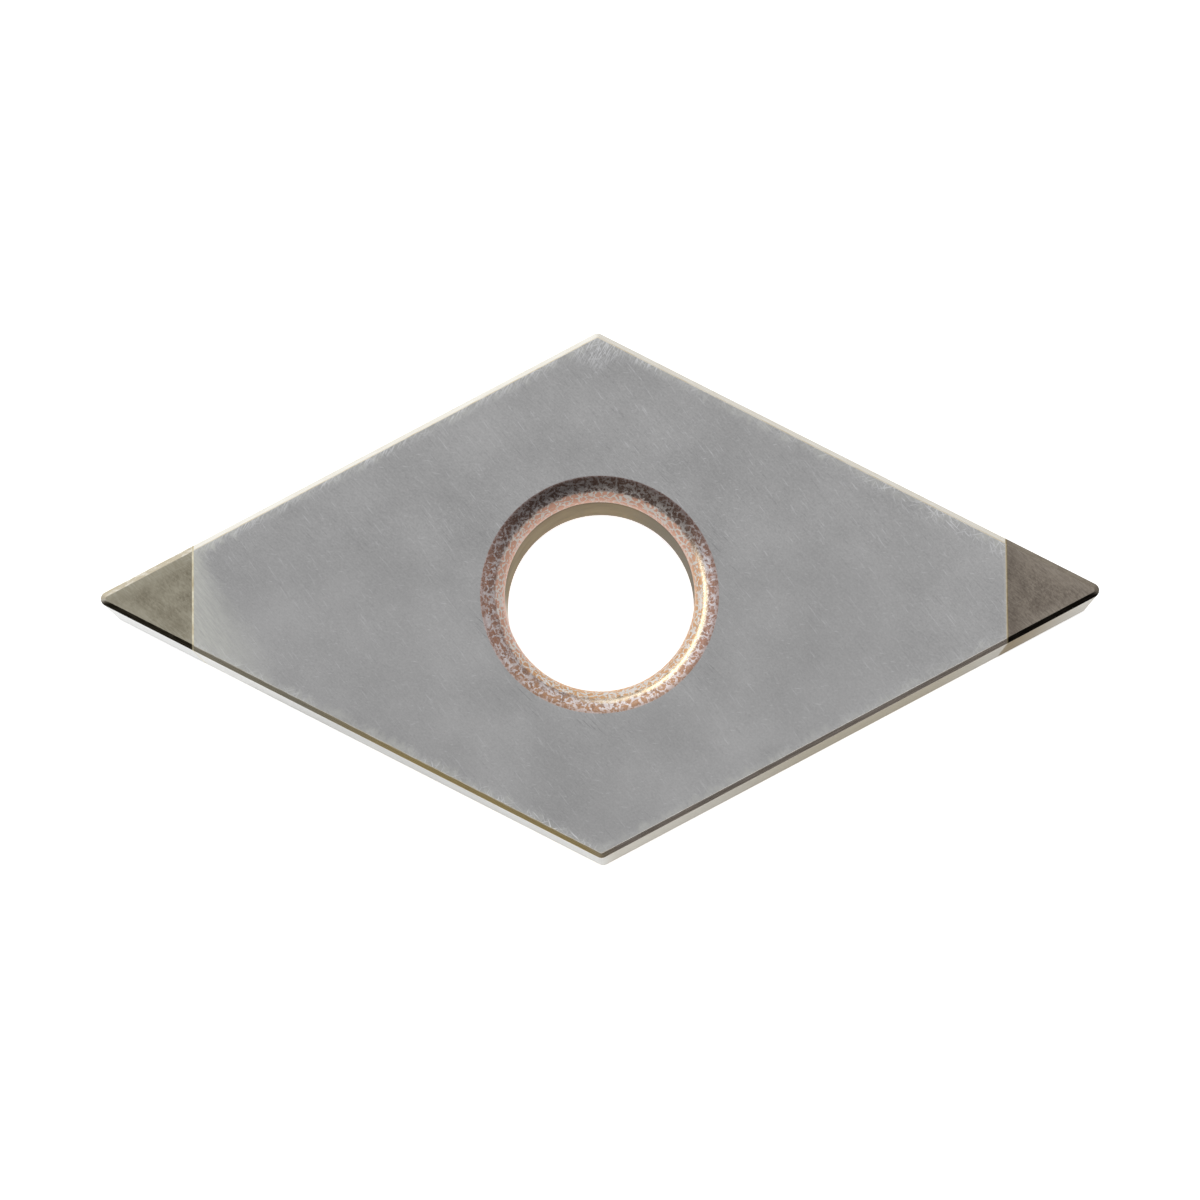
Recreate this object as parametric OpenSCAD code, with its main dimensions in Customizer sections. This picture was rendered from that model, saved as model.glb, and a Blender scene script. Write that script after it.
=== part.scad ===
// Rhombic turning insert: a cemented carbide body with a boron nitride tip brazed to each
// of its two pointed corners. The long diagonal lies along X, the hole's axis is Z, and the
// lower face rests at Z = 0. Both faces are alike, so the insert can be turned over.

/* [Outline] */
// Diameter of the circle that touches all four flanks
inscribed_d = 12.70; // [9:0.05:20]
// Thickness over the two faces
insert_t = 4.76; // [3:0.01:8]
// Included angle of the two pointed corners, in degrees
point_angle = 55; // [35:1:80]
// Radius of the two cutting noses
nose_r = 0.20; // [0.2:0.05:1.2]
// Radius of the two blunt corners
heel_r = 0.20; // [0.2:0.05:1.2]

/* [Edge land] */
// Width of the bevelled land round each face, seen square to the face
land_w = 0.13; // [0.05:0.01:0.18]
// Slope of the land below the face, in degrees
land_angle = 20; // [10:1:40]

/* [Clamping hole] */
// Diameter of the straight part of the hole
hole_d = 5.16; // [3:0.01:6.5]
// Width of the rounded mouth, from the straight part out to the face
mouth_w = 0.65; // [0.2:0.01:1]
// Slope of the mouth where it meets the face, in degrees
mouth_face_slope = 15; // [5:1:30]
// Slope of the mouth where it meets the straight part, in degrees
mouth_hole_slope = 76; // [45:1:80]

/* [Nitride tips] */
// Length of a tip, from its nose to its brazed back
tip_len = 2.48; // [1.5:0.01:4]
// Thickness of the braze between a tip and the body
braze_t = 0.05; // [0.03:0.01:0.15]

/* [Hidden] */

// Fineness of the curves
$fn = 96;
// How far a cutting tool runs past the metal it cuts
run_out = 1;
// How far a corner's round stands proud of a true tangent, so that it meets the flanks
// along a clean edge
blend_slip = 0.0003;

half_point = point_angle / 2;
half_heel = 90 - half_point;
// Distance of a flank from the hole's axis
flank_reach = inscribed_d / 2;
// Corners of the rhombus before rounding, on X and on Y
sharp_x = flank_reach / sin(half_point);
sharp_y = flank_reach / sin(half_heel);
// Centres of the corner rounds, on X and on Y
nose_x = (flank_reach - nose_r + blend_slip) / sin(half_point);
heel_y = (flank_reach - heel_r + blend_slip) / sin(half_heel);

// Drop of the land from the face to the flank
land_drop = land_w * tan(land_angle);

hole_r = hole_d / 2;
mouth_r = hole_r + mouth_w;
// Radius of the mouth's curve, and the centre it turns about
mouth_curve_r = mouth_w / (sin(mouth_hole_slope) - sin(mouth_face_slope));
mouth_curve_x = hole_r + mouth_curve_r * sin(mouth_hole_slope);
mouth_curve_z = insert_t - mouth_curve_r * cos(mouth_face_slope);

// A tip's back face and the body's end face, as distances from the hole's axis to the
// nearest hundredth
tip_back_x = round((nose_x + nose_r - tip_len) * 100) / 100;
body_end_x = tip_back_x - braze_t;

// Rhombus between the four flanks, before its corners and edges are ground
module rhombus_prism()
    linear_extrude(height = insert_t)
        polygon([[sharp_x, 0], [0, sharp_y], [-sharp_x, 0], [0, -sharp_y]]);

// Cutter of the land along one edge of the upper face, for the flank that faces angle a
module land_cutter(a)
    rotate([0, 0, a])
        translate([flank_reach, 0, insert_t - land_drop])
            rotate([0, land_angle, 0])
                translate([-sharp_x, -sharp_x, 0])
                    cube([2 * sharp_x, 2 * sharp_x, insert_t]);

// Section of a corner's cutter: everything outside the round and its two lands
module corner_section(r, reach)
    polygon([
        [r, land_drop],
        [r, insert_t - land_drop],
        [0, insert_t - land_drop + r * tan(land_angle)],
        [0, insert_t + run_out],
        [reach, insert_t + run_out],
        [reach, -run_out],
        [0, -run_out],
        [0, land_drop - r * tan(land_angle)]
    ]);

// Cutter of one corner's round, turned about the round's centre at a given distance along
// direction a. The flanks on either side face half_turn degrees away from that direction.
module corner_cutter(distance, r, a, half_turn)
    rotate([0, 0, a])
        translate([distance, 0, 0])
            rotate([0, 0, -half_turn])
                rotate_extrude(angle = 2 * half_turn)
                    corner_section(r, r / cos(half_turn) + run_out);

// The whole ground outline, before it is parted into body and tips
module insert_blank()
    difference() {
        rhombus_prism();
        for (a = [half_heel, 180 - half_heel, 180 + half_heel, -half_heel]) {
            land_cutter(a);
            translate([0, 0, insert_t])
                mirror([0, 0, 1])
                    land_cutter(a);
        }
        for (a = [0, 180]) {
            corner_cutter(nose_x, nose_r, a, half_heel);
            corner_cutter(heel_y, heel_r, a + 90, half_point);
        }
    }

// Slice of the blank between two distances along the long diagonal
module blank_slice(from_x, to_x)
    intersection() {
        insert_blank();
        translate([from_x, -sharp_y, -run_out])
            cube([to_x - from_x, 2 * sharp_y, insert_t + 2 * run_out]);
    }

// Section of the upper mouth's cutter: everything inside the convex curve
module mouth_section()
    difference() {
        translate([0, mouth_curve_z])
            square([mouth_r, insert_t + run_out - mouth_curve_z]);
        translate([mouth_curve_x, mouth_curve_z])
            circle(r = mouth_curve_r);
    }

// Cutter of the hole, with a rounded mouth at each face
module hole_cutter() {
    translate([0, 0, -run_out])
        cylinder(r = hole_r, h = insert_t + 2 * run_out);
    rotate_extrude()
        mouth_section();
    translate([0, 0, insert_t])
        mirror([0, 0, 1])
            rotate_extrude()
                mouth_section();
}

// Cemented carbide body, with its clamping hole
module carbide_body()
    color([0.60, 0.60, 0.60])
        difference() {
            blank_slice(-body_end_x, body_end_x);
            hole_cutter();
        }

// Boron nitride tip at the right-hand corner
module right_cbn_tip()
    color([0.49, 0.46, 0.42])
        blank_slice(tip_back_x, sharp_x);

// The same tip at the left-hand corner
module left_cbn_tip()
    mirror([1, 0, 0])
        right_cbn_tip();

// Braze film behind the right-hand tip
module right_braze_seam()
    color([0.85, 0.80, 0.66])
        blank_slice(body_end_x, tip_back_x);

// The same film behind the left-hand tip
module left_braze_seam()
    mirror([1, 0, 0])
        right_braze_seam();

carbide_body();
left_cbn_tip();
right_cbn_tip();
left_braze_seam();
right_braze_seam();
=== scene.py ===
import logging
import math
from collections.abc import Callable, Collection, Sequence
from dataclasses import dataclass, field, replace
from enum import Enum

import bmesh
import bpy
from mathutils import Matrix, Vector

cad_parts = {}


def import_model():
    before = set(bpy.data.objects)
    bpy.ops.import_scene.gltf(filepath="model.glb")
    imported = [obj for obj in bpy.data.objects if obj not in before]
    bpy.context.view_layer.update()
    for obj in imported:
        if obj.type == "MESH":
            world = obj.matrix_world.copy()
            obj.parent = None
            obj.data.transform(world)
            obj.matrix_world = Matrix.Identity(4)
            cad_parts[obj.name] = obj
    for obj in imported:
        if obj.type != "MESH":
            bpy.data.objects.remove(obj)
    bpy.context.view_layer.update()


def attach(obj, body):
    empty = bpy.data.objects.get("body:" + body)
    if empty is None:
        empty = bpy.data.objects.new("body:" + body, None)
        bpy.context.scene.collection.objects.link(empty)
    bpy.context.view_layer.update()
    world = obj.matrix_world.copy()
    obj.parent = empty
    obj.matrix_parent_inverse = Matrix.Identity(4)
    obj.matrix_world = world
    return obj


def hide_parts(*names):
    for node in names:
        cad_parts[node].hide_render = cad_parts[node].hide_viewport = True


LOG = logging.getLogger("turning_insert")
MM = 0.001
MICRON = 0.000001

Plan = tuple[float, float]
Space = tuple[float, float, float]
Colour = tuple[float, float, float, float]
Ring = list[bmesh.types.BMVert]

WHITE: Colour = (1.0, 1.0, 1.0, 1.0)


class Side(Enum):
    """Which pointed corner a tip or a seam belongs to, as the sign of X."""

    LEFT = -1
    RIGHT = 1


class Slot(Enum):
    """The record's material slots."""

    CARBIDE = "carbide"
    NITRIDE = "nitride"
    BRAZE = "braze"


class Region(Enum):
    """Parts of a piece's skin that are finished apart, as material numbers."""

    FACE = 0
    LAND = 1
    FLANK = 2
    MOUTH = 3
    BORE = 4


class Op(Enum):
    """Sums that a maths node does."""

    ADD = "ADD"
    TAKE = "SUBTRACT"
    TIMES = "MULTIPLY"
    OVER = "DIVIDE"
    LEAST = "MINIMUM"
    MOST = "MAXIMUM"
    SIGN = "SIGN"
    SIZE = "ABSOLUTE"


def srgb(red: int, green: int, blue: int) -> Colour:
    """Turns a screen colour into the linear colour that a shader takes.

    Args:
        red: Red from 0 to 255.
        green: Green from 0 to 255.
        blue: Blue from 0 to 255.

    Returns:
        The linear colour with full opacity.
    """

    def linear(level: int) -> float:
        """Linear value of one screen level."""
        v = level / 255
        return v / 12.92 if v <= 0.04045 else ((v + 0.055) / 1.055) ** 2.4

    return (linear(red), linear(green), linear(blue), 1.0)


@dataclass(frozen=True)
class Strokes:
    """Parallel strokes: heading in plan in degrees from X, sizes in millimetres, and number of finer layers.

    The pattern also changes with height, by depth_rate grains in each millimetre.
    """

    heading: float
    length: float
    width: float
    detail: float = 1.0
    depth_rate: float = 7.0


class Reading:
    """A number, a place or a colour that varies over a surface: one output of a shader node."""

    def __init__(self, bench: "NodeBench", socket: bpy.types.NodeSocket) -> None:
        """Holds an output of a node on a bench."""
        self.bench = bench
        self.socket = socket

    def __add__(self, other: "Feed") -> "Reading":
        """This number and another together."""
        return self.bench.sum(Op.ADD, self, other)

    def __sub__(self, other: "Feed") -> "Reading":
        """This number less another."""
        return self.bench.sum(Op.TAKE, self, other)

    def __rsub__(self, other: float) -> "Reading":
        """A plain number less this one."""
        return self.bench.sum(Op.TAKE, other, self)

    def __mul__(self, other: "Feed") -> "Reading":
        """This number times another."""
        return self.bench.sum(Op.TIMES, self, other)

    def __truediv__(self, other: "Feed") -> "Reading":
        """This number over another."""
        return self.bench.sum(Op.OVER, self, other)

    def most(self, other: "Feed", *more: "Feed") -> "Reading":
        """The greatest of this number and others."""
        both = self.bench.sum(Op.MOST, self, other)
        return both.most(*more) if more else both

    def ease(self, start: float, end: float, low: float = 0.0, high: float = 1.0) -> "Reading":
        """Eases from low at start to high at end, and holds it outside them.

        Args:
            start: Number that gives low.
            end: Number that gives high.
            low: First result.
            high: Last result.

        Returns:
            The eased number.
        """
        feeds = {"Value": self, "From Min": start, "From Max": end, "To Min": low, "To Max": high}
        return self.bench.read("ShaderNodeMapRange", "Result", feeds, interpolation_type="SMOOTHSTEP")

    def mix(self, first: "Feed", second: "Feed") -> "Reading":
        """Mixes two colours, with this number as the share of the second."""
        return self.bench.read("ShaderNodeMix", 2, {0: self, 6: first, 7: second}, data_type="RGBA")

    def split(self) -> list["Reading"]:
        """The X, Y and Z of this place."""
        outputs = self.bench.add("ShaderNodeSeparateXYZ", {0: self}).outputs
        return [Reading(self.bench, output) for output in outputs]

    def along(self, heading: Space) -> "Reading":
        """Distance of this place along a heading."""
        feeds = {0: self, 1: heading}
        return self.bench.read("ShaderNodeVectorMath", "Value", feeds, operation="DOT_PRODUCT")

    def folded(self) -> "Reading":
        """This place with its X, Y and Z made positive, so that four flanks count as one."""
        return self.bench.read("ShaderNodeVectorMath", 0, {0: self}, operation="ABSOLUTE")

    def radius(self) -> "Reading":
        """Distance of this place from the hole's axis.

        Returns:
            The distance.
        """
        x, y, _ = self.split()
        feeds = {0: self.bench.joined(x, y, 0.0), 1: (0.0, 0.0, 0.0)}
        return self.bench.read("ShaderNodeVectorMath", "Value", feeds, operation="DISTANCE")

    def grain(self, scale: float, detail: float = 3.0, rough: float = 0.55, warp: float = 0.0) -> "Reading":
        """Noise from 0 to 1, read at this place.

        Args:
            scale: Grains in each unit of place.
            detail: Number of finer layers.
            rough: Share of the finer layers.
            warp: How far the noise bends itself.

        Returns:
            The noise.
        """
        feeds = {"Vector": self, "Scale": scale, "Detail": detail, "Roughness": rough, "Distortion": warp}
        return self.bench.read("ShaderNodeTexNoise", "Fac", feeds)

    def jostled(self, scale: float, reach: float) -> "Reading":
        """This place pushed about by noise, so that a pattern read there loses its straight lines.

        Args:
            scale: Grains in each unit of place.
            reach: Furthest push.

        Returns:
            The pushed place.
        """
        feeds = {"Vector": self, "Scale": scale, "Detail": 3.0}
        noise = self.bench.read("ShaderNodeTexNoise", "Color", feeds)
        push = {0: noise, 1: (reach, reach, reach), 2: self}
        return self.bench.read("ShaderNodeVectorMath", 0, push, operation="MULTIPLY_ADD")

    def net(self, scale: float, reach: "Reading", torn: "Reading") -> "Reading":
        """Ragged net of lines between irregular cells, 1 on a line and 0 inside a cell.

        Args:
            scale: Cells in each unit of place.
            reach: Half the width of a line, in cells.
            torn: Noise that tears the lines' borders.

        Returns:
            The net.
        """
        feeds = {"Vector": self, "Scale": scale}
        border = self.bench.read("ShaderNodeTexVoronoi", "Distance", feeds, feature="DISTANCE_TO_EDGE")
        tear = (torn - 0.5) * 0.75
        return ((border + tear) / reach).ease(1.0, 0.65)

    def streaks(self, strokes: Strokes) -> "Reading":
        """Noise from 0 to 1 drawn out into strokes, read at this place.

        Args:
            strokes: The strokes.

        Returns:
            The noise.
        """
        c = math.cos(math.radians(strokes.heading))
        s = math.sin(math.radians(strokes.heading))
        u = self.along((c / strokes.length, s / strokes.length, 0.0))
        v = self.along((-s / strokes.width, c / strokes.width, 0.0))
        w = self.along((0.0, 0.0, strokes.depth_rate))
        return self.bench.joined(u, v, w).grain(1.0, strokes.detail)

    def relief(self, depth: float, strength: float) -> "Reading":
        """Turns this height, from 0 to 1, into a bumped normal.

        Args:
            depth: What a height of 1 stands for, in metres.
            strength: Share of the bump that is used.

        Returns:
            The normal.
        """
        feeds = {"Strength": strength, "Distance": depth, "Height": self}
        return self.bench.read("ShaderNodeBump", "Normal", feeds)


Feed = Reading | float | tuple[float, ...]


class NodeBench:
    """Adds the nodes of one material or world and wires them together."""

    def __init__(self, tree: bpy.types.NodeTree) -> None:
        """Starts on a tree with its own nodes cleared."""
        self.tree = tree
        tree.nodes.clear()

    def add(self, kind: str, feeds: dict[str | int, Feed], **settings: str) -> bpy.types.Node:
        """Adds a node, makes its settings, and wires or sets its inputs.

        Args:
            kind: Type of the node.
            feeds: What goes into each input, by the input's name or number.
            settings: The node's settings.

        Returns:
            The node.
        """
        node = self.tree.nodes.new(kind)
        for name, setting in settings.items():
            setattr(node, name, setting)
        for key, feed in feeds.items():
            if isinstance(feed, Reading):
                self.tree.links.new(feed.socket, node.inputs[key])
            else:
                node.inputs[key].default_value = feed
        return node

    def read(self, kind: str, output: str | int, feeds: dict[str | int, Feed], **settings: str) -> Reading:
        """Adds a node in the same way, and reads one of its outputs."""
        return Reading(self, self.add(kind, feeds, **settings).outputs[output])

    def sum(self, op: Op, a: Feed, b: Feed = 0.0) -> Reading:
        """Does one sum on numbers."""
        return self.read("ShaderNodeMath", 0, {0: a, 1: b}, operation=op.value)

    def joined(self, x: Feed, y: Feed, z: Feed) -> Reading:
        """A place made of X, Y and Z."""
        return self.read("ShaderNodeCombineXYZ", 0, {0: x, 1: y, 2: z})

    def millimetres(self) -> Reading:
        """Place on the piece in millimetres, in the piece's own frame."""
        place = self.read("ShaderNodeTexCoord", "Object", {})
        return self.read("ShaderNodeVectorMath", 0, {0: place, "Scale": 1 / MM}, operation="SCALE")


@dataclass(frozen=True)
class Coat:
    """What a finish feeds to its shader."""

    colour: Feed
    roughness: Feed
    normal: Feed
    metallic: Feed = 1.0
    tint: Feed = WHITE


@dataclass(frozen=True)
class Finish:
    """What every finish has: a name, and a way to make its coat."""

    name: str

    def paint(self, place: Reading) -> Coat:
        """Makes the coat.

        Args:
            place: Place on the piece, in millimetres.

        Returns:
            The coat.
        """
        raise NotImplementedError

    def made(self) -> bpy.types.Material:
        """Builds the material.

        Returns:
            The material.
        """
        material = bpy.data.materials.new(self.name)
        material.use_nodes = True
        bench = NodeBench(material.node_tree)
        coat = self.paint(bench.millimetres())
        feeds = {"Base Color": coat.colour, "Roughness": coat.roughness, "Metallic": coat.metallic,
                 "Specular Tint": coat.tint, "Normal": coat.normal}
        bench.add("ShaderNodeOutputMaterial", {"Surface": bench.read("ShaderNodeBsdfPrincipled", 0, feeds)})
        return material


@dataclass(frozen=True)
class FlankRule:
    """Where a place lies against the nearest of the four flanks, in millimetres."""

    reach: float = 6.35
    half_point: float = math.radians(27.5)
    x_code: float = 31.7
    y_code: float = 83.1

    def gap(self, place: Reading) -> Reading:
        """Distance inside the nearest flank."""
        return self.reach - place.folded().along((math.sin(self.half_point), math.cos(self.half_point), 0.0))

    def drawn(self, place: Reading, rate: float, across: Reading, detail: float = 3.0,
              rough: float = 0.55) -> Reading:
        """Noise drawn out along the flanks, with a pattern of its own on each of the four.

        Args:
            place: Where it is read.
            rate: Grains in each millimetre along a flank.
            across: Grains counted across the flank.
            detail: Number of finer layers.
            rough: Share of the finer layers.

        Returns:
            The noise.
        """
        bench = place.bench
        x, y, _ = place.split()
        run = place.folded().along((math.cos(self.half_point), -math.sin(self.half_point), 0.0))
        code = bench.sum(Op.SIGN, x) * self.x_code + bench.sum(Op.SIGN, y) * self.y_code
        return bench.joined(run * rate, across, code).grain(1.0, detail, rough)


@dataclass(frozen=True)
class GroundFace(Finish):
    """Surface-ground carbide: fine slanting lines, soft clouds, and pale scuffs along the edges."""

    dark: Colour = srgb(136, 136, 137)
    light: Colour = srgb(178, 178, 179)
    scuff: Colour = srgb(216, 217, 220)
    worn_and_sheen: Colour = srgb(190, 191, 186)
    # Pale colour of wear along the edges, also used as a painted highlight beside the seams.
    scratch: Colour = srgb(108, 108, 110)
    main_lines: Strokes = Strokes(-40.0, 0.34, 0.03, 3.0)
    steep_lines: Strokes = Strokes(-55.0, 0.24, 0.022, 2.0)
    shallow_lines: Strokes = Strokes(-22.0, 0.18, 0.024, 2.0)
    seam_wear: Strokes = Strokes(-40.0, 0.4, 0.05, 3.0)
    seam_scores: Strokes = Strokes(-52.0, 0.36, 0.028, 2.0)
    rim_marks: Strokes = Strokes(-43.0, 0.42, 0.024)
    nicks: Strokes = Strokes(-49.0, 0.5, 0.028)
    hairs: Strokes = Strokes(-54.0, 0.5, 0.03)
    flecks: Strokes = Strokes(-8.0, 0.2, 0.026)
    hatch: Strokes = Strokes(62.0, 0.26, 0.028)
    tangle: tuple[Strokes, ...] = tuple(Strokes(turn, 0.42, 0.034) for turn in (58.0, -47.0, 10.0, -74.0))
    end_x: float = 10.99
    rim_r: float = 3.23
    roughness: float = 0.42
    rule: FlankRule = FlankRule()

    def lines(self, place: Reading) -> Reading:
        """The grinding lines: short, thin and a little crossed."""
        crossed = place.streaks(self.steep_lines) * 0.3 + place.streaks(self.shallow_lines) * 0.25
        return place.streaks(self.main_lines) * 0.45 + crossed

    def wear_and_sheen_share(self, place: Reading, gap: Reading) -> Reading:
        """How far the pale wear along the edges has gone, with a painted highlight beside the seams and along
        the edges at the left end.

        Args:
            place: Place on the face.
            gap: Its distance inside the nearest flank.

        Returns:
            Share of the pale colour of wear and painted highlight.
        """
        x, y, _ = place.split()
        ragged = self.rule.drawn(place, 6.0, gap * 1.5, 4.0, 0.6).ease(0.35, 0.7) * 0.2
        # The pale share grows towards the left end, where it is a painted highlight.
        strength = place.grain(1.6, 4.0, 0.6).ease(0.35, 0.65, 0.2, 0.55) * x.ease(-8.5, -10.4, 0.7, 1.6)
        edge = (gap - ragged).ease(0.08, 0.3, 1.0, 0.0) * strength
        # Painted highlight beside the left seam, scored by streaks and wider on the near side.
        from_seam = x + self.end_x + (place.streaks(self.seam_wear) - 0.5) * 0.5
        width = y.ease(1.5, -2.2, 0.34, 2.0)
        scored = place.streaks(self.seam_scores).ease(0.36, 0.62, 0.6, 1.0)
        left_seam_sheen = (from_seam / width).ease(0.1, 1.25, 0.85, 0.0) * scored
        # Painted highlight on the body's edge just beside the right seam.
        right_seam_glint = x.ease(self.end_x - 0.07, self.end_x - 0.02, 0.0, 0.25)
        return left_seam_sheen.most(edge, right_seam_glint)

    def scuffs(self, place: Reading, gap: Reading) -> Reading:
        """Short straight scratches in several directions, crowded along the edges.

        Args:
            place: Place on the face.
            gap: Its distance inside the nearest flank.

        Returns:
            Share of the scuffed colour.
        """
        x, y, _ = place.split()
        crowd = (gap * x.ease(4.0, 9.0, 1.0, 0.6)).ease(0.13, 0.44, 1.0, 0.0)
        patchy = place.grain(1.3, 4.0, 0.6).ease(0.36, 0.6, 0.5, 1.0)
        first, *more = [place.streaks(strokes).ease(0.62, 0.7) for strokes in self.tangle]
        tangle = first.most(*more)
        hatch = place.streaks(self.hatch).ease(0.52, 0.62)
        right = x.ease(5.0, 9.0, 0.4, 0.6) * y.ease(-0.5, 0.5, 0.4, 1.0)
        near_left = x.ease(-6.5, -3.5) * x.ease(0.6, -0.6, 0.0, 0.85) * y.ease(-0.5, -1.5)
        left_end = x.ease(-6.5, -8.5, 0.0, 0.4)
        far_left = x.ease(3.4, 1.4, 0.0, 0.66) * y.ease(0.0, 1.0)
        edges = (tangle * right.most(near_left, left_end)).most(hatch * far_left) * (crowd * patchy)
        corner = (y - place.bench.sum(Op.SIZE, x) * 0.42).ease(5.85, 6.6) * 0.55
        return edges.most(hatch.most(tangle * 0.8) * corner)

    def rim_scratches(self, place: Reading) -> Reading:
        """Darker scratches that run up to the hole's rim in patches.

        Args:
            place: Place on the face.

        Returns:
            Share of the scratches' colour.
        """
        near = place.radius().ease(self.rim_r + 0.1, self.rim_r + 1.1, 1.0, 0.0)
        patchy = place.grain(0.7, 2.0).ease(0.44, 0.58)
        return near * patchy * place.streaks(self.rim_marks).ease(0.58, 0.74, 0.0, 0.6)

    def paint(self, place: Reading) -> Coat:
        """Makes the coat.

        Args:
            place: Place on the piece, in millimetres.

        Returns:
            The coat.
        """
        x, y, _ = place.split()
        gap = self.rule.gap(place)
        lines = self.lines(place)
        speckle = place.grain(20.0, 2.0, 0.6)
        clouds = (place.grain(0.45, 4.0) - 0.5) * 0.36
        grit = (lines - 0.5) * 0.9 + (speckle - 0.5) * 0.44
        marked = y.ease(-0.5, 2.5).most(x.ease(6.5, 9.5, 0.0, 0.9))
        tone = grit * marked.ease(0.0, 1.0, 0.66, 0.84) + clouds
        colour = tone.ease(-0.325, 0.325).mix(self.dark, self.light)
        colour = self.wear_and_sheen_share(place, gap).mix(colour, self.worn_and_sheen)
        nicks = place.streaks(self.nicks).ease(0.64, 0.74, 0.0, 0.34) * marked.ease(0.0, 1.0, 0.45, 0.8)
        colour = self.rim_scratches(place).most(nicks).mix(colour, self.scratch)
        hairs = place.streaks(self.hairs).ease(0.66, 0.75, 0.0, 0.4) * marked.ease(0.0, 1.0, 0.5, 0.75)
        flecks = place.streaks(self.flecks).ease(0.68, 0.78, 0.0, 0.3)
        colour = self.scuffs(place, gap).most(hairs, flecks).mix(colour, self.scuff)
        rough = lines.ease(0.3, 0.7, self.roughness - 0.05, self.roughness + 0.06)
        return Coat(colour, rough, (lines + speckle * 0.5).relief(1.4 * MICRON, 0.8))


@dataclass(frozen=True)
class EdgeLand(Finish):
    """Fine-ground bevel round a face, paler on the far side and darker on the near side as painted light and
    shade, with a painted highlight line where it meets the face.
    """

    # The far side's colour, painted lit; the near-side colours below are its painted shaded copies.
    base: Colour = srgb(230, 228, 222)
    far_end: Colour = srgb(174, 169, 157)
    near_left: Colour = srgb(208, 187, 136)
    near_right: Colour = srgb(213, 202, 194)
    # Tan of small patches, and of the painted highlight line on the far side.
    line: Colour = srgb(196, 181, 152)
    # Painted highlight line on the near side.
    near_glint: Colour = srgb(236, 233, 228)
    land_w: float = 0.13
    rule: FlankRule = FlankRule()

    def paint(self, place: Reading) -> Coat:
        """Makes the coat.

        Args:
            place: Place on the piece, in millimetres.

        Returns:
            The coat.
        """
        x, y, _ = place.split()
        gap = self.rule.gap(place)
        lines = self.rule.drawn(place, 1.6, gap * 70.0)
        patches = self.rule.drawn(place, 2.4, gap * 9.0)
        # Painted light and shade: the pale base on the far side, darker tones on the near side.
        left = x.ease(-8.5, -4.8).mix(self.far_end, self.near_left)
        near = x.ease(-0.6, 0.6).mix(left, self.near_right)
        shaded_near_side = y.ease(0.1, -0.1)
        colour = patches.ease(0.3, 0.72, 0.0, 0.16).mix(shaded_near_side.mix(self.base, near), self.line)
        # Painted highlight line along the land's inner border.
        border = gap.ease(self.land_w - 0.03, self.land_w - 0.008) * patches.ease(0.36, 0.6, 0.8, 0.35)
        colour = border.mix(colour, shaded_near_side.mix(self.line, self.near_glint))
        return Coat(colour, lines.ease(0.3, 0.7, 0.22, 0.34), lines.relief(0.6 * MICRON, 0.7))


@dataclass(frozen=True)
class GroundFlank(Finish):
    """Peripherally ground side, with its lines along the edge and a painted warm, dimmer reflection to the
    right of the hole.
    """

    base: Colour = srgb(216, 216, 215)
    dim: Colour = srgb(196, 196, 194)
    # Painted reflection: a warm colour and a specular tint that dim the flank to the right of the hole.
    warm_reflection: Colour = srgb(176, 166, 146)
    tint: Colour = (0.76, 0.73, 0.64, 1.0)
    warm_from: float = 2.8
    warm_to: float = 6.0
    first_share: float = 0.5
    warm_share: float = 0.9
    pale_from: float = 8.8
    pale_to: float = 11.1
    last_share: float = 0.5
    roughness: float = 0.34
    rule: FlankRule = FlankRule()

    def paint(self, place: Reading) -> Coat:
        """Makes the coat.

        Args:
            place: Place on the piece, in millimetres.

        Returns:
            The coat.
        """
        x, _, height = place.split()
        lines = self.rule.drawn(place, 0.5, height * 34.0)
        clouds = self.rule.drawn(place, 0.45, height * 0.5)
        colour = (lines * 0.5 + clouds * 0.7).ease(0.35, 0.85).mix(self.dim, self.base)
        # Painted reflection: its share rises to the right of the hole and fades towards the far right end.
        warm_reflection_share = x.ease(-0.2, 0.4) * x.ease(self.warm_from, self.warm_to, self.first_share, self.warm_share)
        warm_reflection_share = warm_reflection_share * x.ease(self.pale_from, self.pale_to, 1.0, self.last_share)
        rough = lines.ease(0.3, 0.7, self.roughness - 0.05, self.roughness + 0.07)
        normal = lines.relief(1.2 * MICRON, 0.8)
        return Coat(warm_reflection_share.mix(colour, self.warm_reflection), rough, normal, tint=warm_reflection_share.mix(WHITE, self.tint))


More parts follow.
